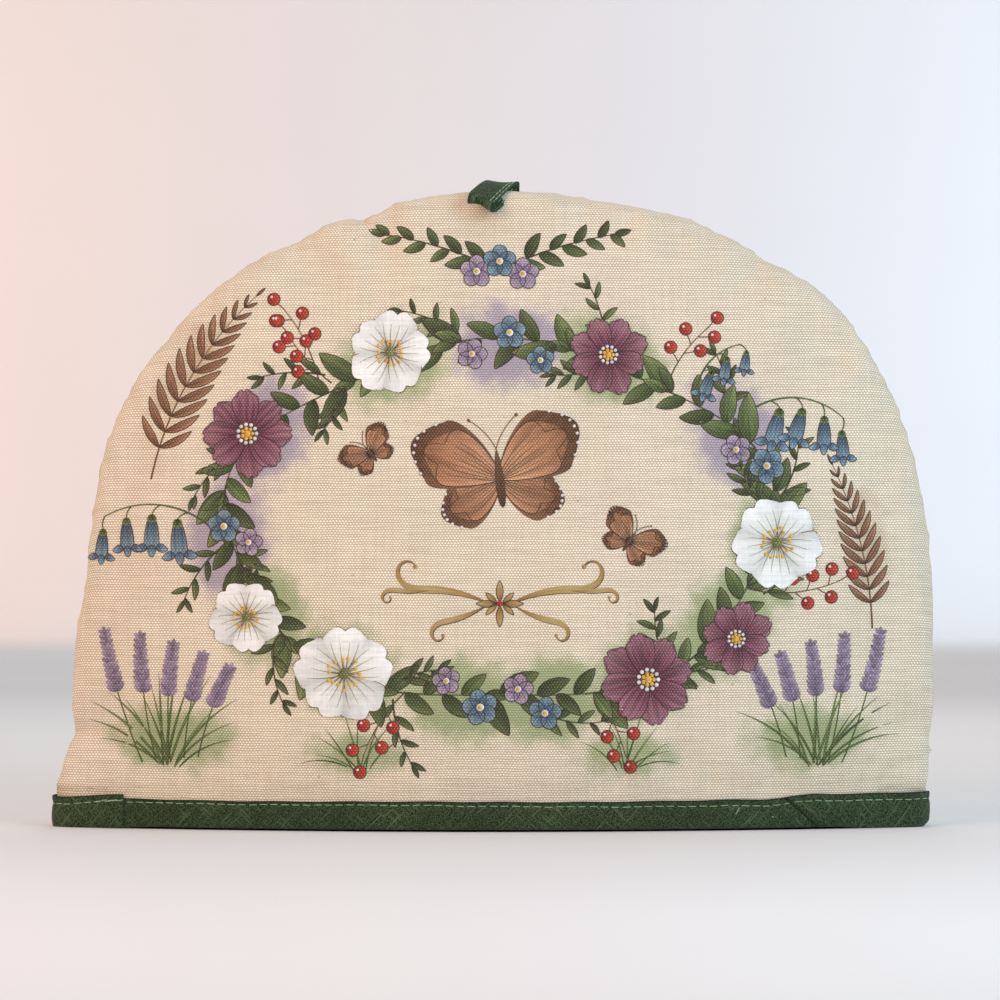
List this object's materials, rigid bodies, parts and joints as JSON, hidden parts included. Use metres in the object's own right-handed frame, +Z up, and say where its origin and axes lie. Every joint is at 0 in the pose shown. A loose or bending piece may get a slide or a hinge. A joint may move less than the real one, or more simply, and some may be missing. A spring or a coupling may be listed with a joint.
{
  "type": "tea cosy",
  "caption": "Wadded tea cosy with an arched outline, cotton canvas faces, a tape-bound hem and a hanging loop, standing part open on its hem.",
  "frame": {"origin": "on the floor, under the middle of the hem", "axes": "+Z up, +X along the hem to the right as seen from the front, -Y towards the printed front"},
  "size_m": [0.3457, 0.0946, 0.2541],
  "materials": {
    "front_canvas": "printed cotton canvas",
    "back_canvas": "plain cotton canvas",
    "hem_tape": "cotton bias tape",
    "loop_tape": "cotton bias tape"
  },
  "bodies": {
    "root": {"front_panel": "front_canvas", "back_panel": "back_canvas", "hem_binding": "hem_tape", "hanging_loop": "loop_tape"}
  },
  "joints": []
}
